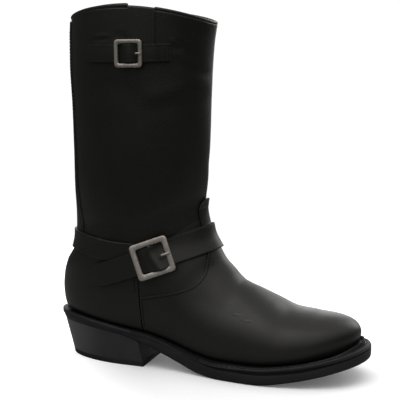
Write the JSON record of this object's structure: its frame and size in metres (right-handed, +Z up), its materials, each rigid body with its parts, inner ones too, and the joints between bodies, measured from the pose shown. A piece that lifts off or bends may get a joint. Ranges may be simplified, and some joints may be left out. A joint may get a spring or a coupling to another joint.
{
  "type": "western boot",
  "caption": "Black pull-on leather boot with a round toe, welted sole, sloped western heel, and buckled straps round the ankle and at the top of the shaft.",
  "frame": {"origin": "On the floor, at the middle of the bottom of the heel", "axes": "+X points to the toe, +Y to the inner side of the right foot, +Z up the shaft"},
  "size_m": [0.3033, 0.1054, 0.3334],
  "materials": {
    "black_leather": "smooth oiled black, soft gloss",
    "black_rubber": "matte black",
    "black_heel_edge": "inked and burnished edge",
    "tan_lining": "undyed, dry",
    "pewter": "antiqued, lightly worn"
  },
  "bodies": {
    "root": {"upper": "black_leather", "vamp": "black_leather", "counter": "black_leather", "back_strip": "black_leather", "ankle_strap_rear": "black_leather", "ankle_strap_front": "black_leather", "top_strap": "black_leather", "collar_binding_front": "black_leather", "collar_binding_rear": "black_leather", "pull_strap_outer": "black_leather", "pull_strap_inner": "black_leather", "outsole": "black_rubber", "welt": "black_rubber", "heel_top_lift": "black_rubber", "heel_stack": "black_heel_edge", "insole": "tan_lining", "ankle_buckle": "pewter", "ankle_prong": "pewter", "top_buckle": "pewter", "top_prong": "pewter"}
  },
  "joints": []
}
